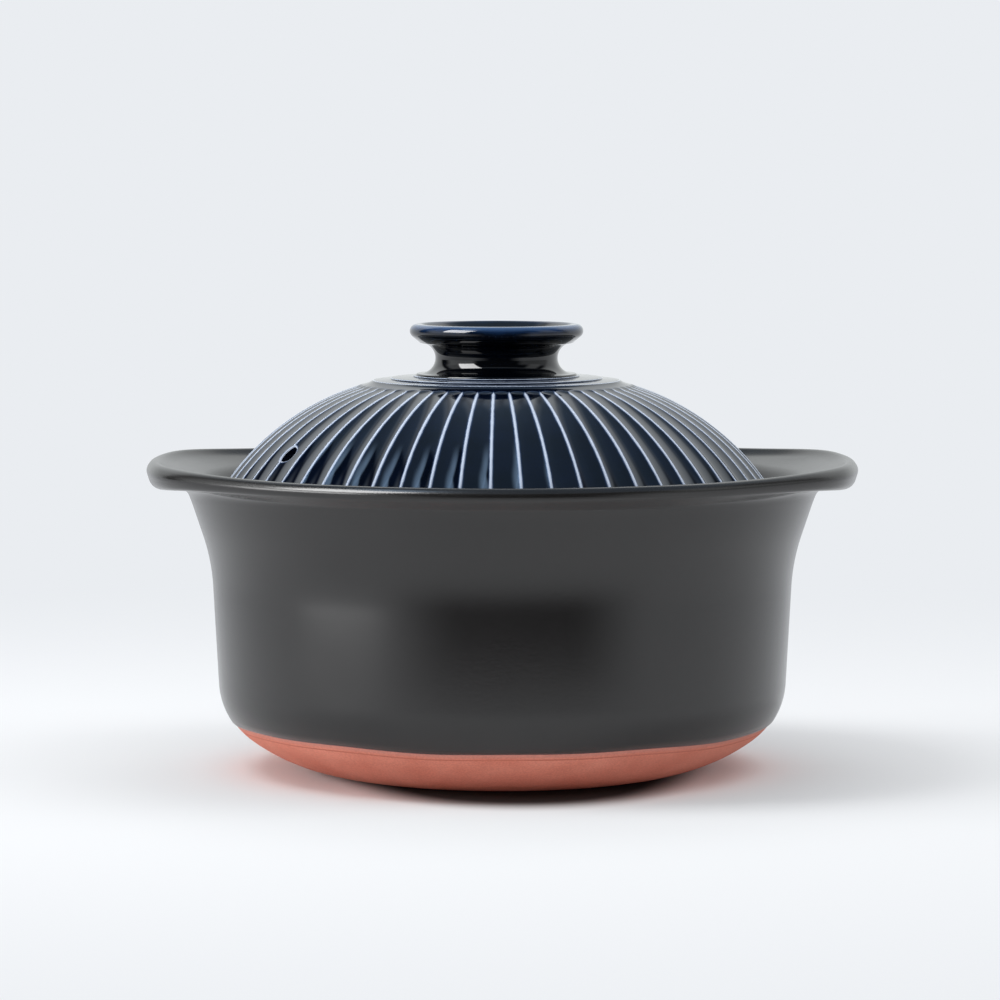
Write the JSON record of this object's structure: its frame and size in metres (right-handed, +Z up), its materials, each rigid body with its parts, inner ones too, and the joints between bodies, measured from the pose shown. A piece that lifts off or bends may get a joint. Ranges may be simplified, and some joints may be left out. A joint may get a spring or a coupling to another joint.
{
  "type": "donabe clay pot",
  "caption": "Deep clay rice pot glazed satin black over a bare red foot, with two lugs drawn out of its flared rim and a domed, fluted deep blue lid that lifts off",
  "frame": {"origin": "centre of the face the pot stands on", "axes": "+Z up along the pot's axis, X through the two lugs, -Y towards the side the picture shows"},
  "size_m": [0.245, 0.2264, 0.1536],
  "materials": {
    "red_clay": "bare fired red clay, matt and slightly gritty",
    "black_glaze": "satin black glaze",
    "blue_glaze": "glossy deep blue glaze that breaks pale on edges"
  },
  "bodies": {
    "pot": {"pot_body": "red_clay", "pot_glaze": "black_glaze"},
    "lid": {"lid_body": "red_clay", "lid_knob": "red_clay", "lid_glaze": "blue_glaze", "lid_lining": "black_glaze"}
  },
  "joints": [
    {"name": "lid_lift", "type": "slide", "parent": "pot", "child": "lid", "axis": [0, 0, 1], "range_m": [0, 0.08]}
  ]
}
